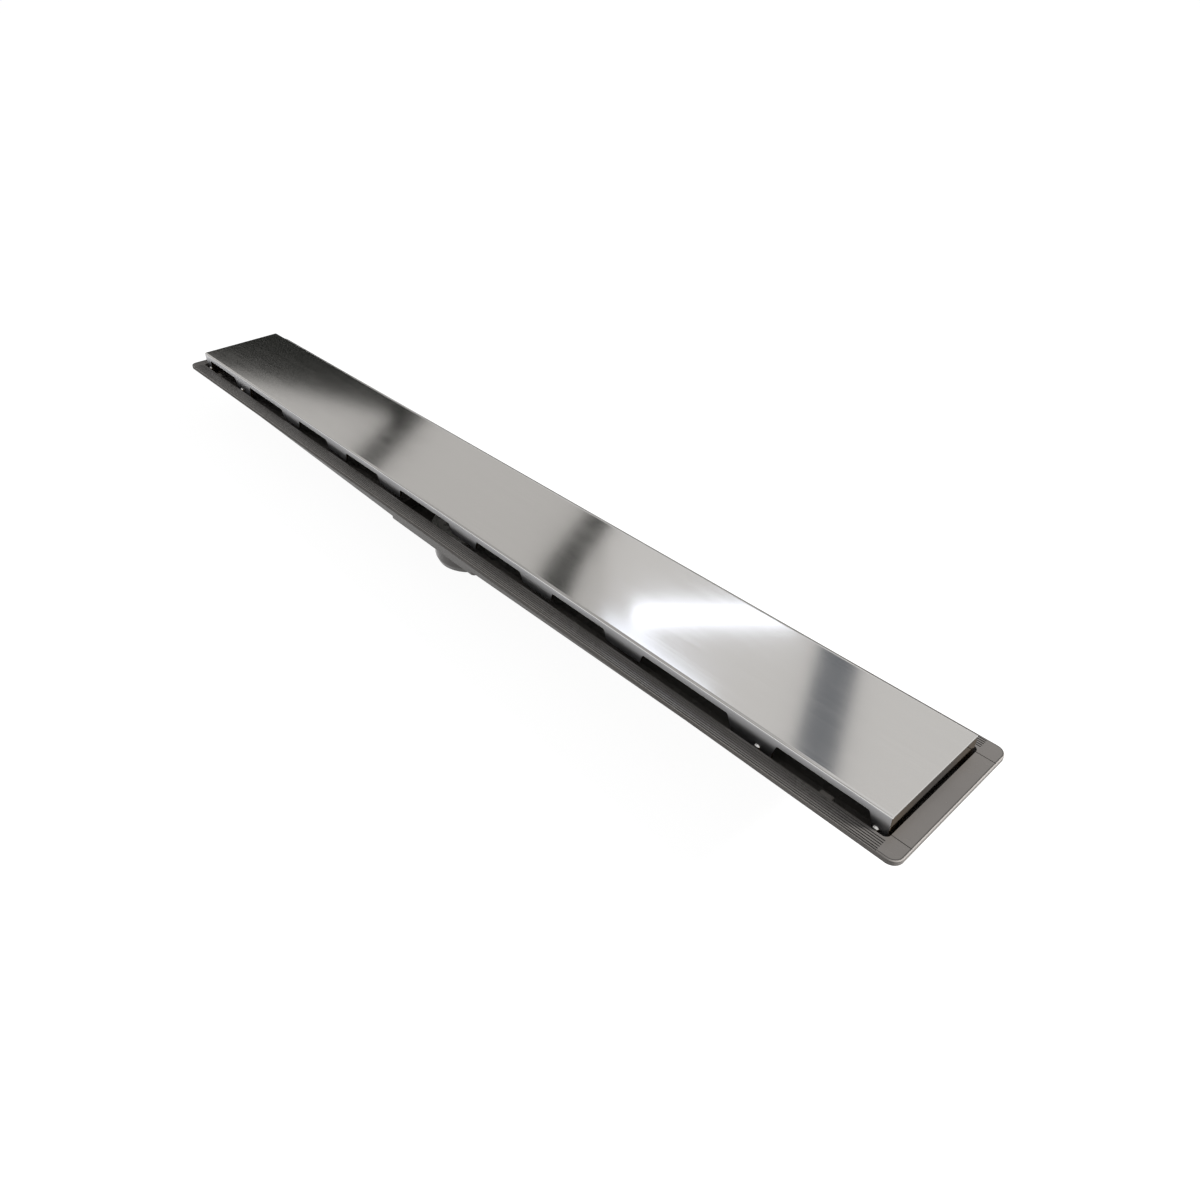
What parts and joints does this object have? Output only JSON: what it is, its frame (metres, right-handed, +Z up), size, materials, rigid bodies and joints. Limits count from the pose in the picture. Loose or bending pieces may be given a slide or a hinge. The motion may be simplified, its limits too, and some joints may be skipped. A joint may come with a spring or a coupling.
{
  "type": "linear drain",
  "caption": "Long shower channel with a grooved tiling flange, a folded steel cover on feet that lets water in along its edges, and a dry trap in a vertical outlet.",
  "frame": {"origin": "centre of the outlet's lower end, which is the lowest level of the part", "axes": "+X along the channel, +Y across it, +Z up out of the floor along the outlet"},
  "size_m": [0.671, 0.0848, 0.052],
  "materials": {
    "grey_plastic": "moulded satin",
    "stainless": "polished, fine long grain",
    "pale_plastic": "moulded",
    "black_rubber": "matte",
    "silicone": "soft matte"
  },
  "bodies": {
    "root": {"channel_body": "grey_plastic", "cover": "stainless", "trap_insert": "pale_plastic", "trap_seal": "black_rubber", "trap_membrane": "silicone", "hair_strainer": "pale_plastic"}
  },
  "joints": []
}
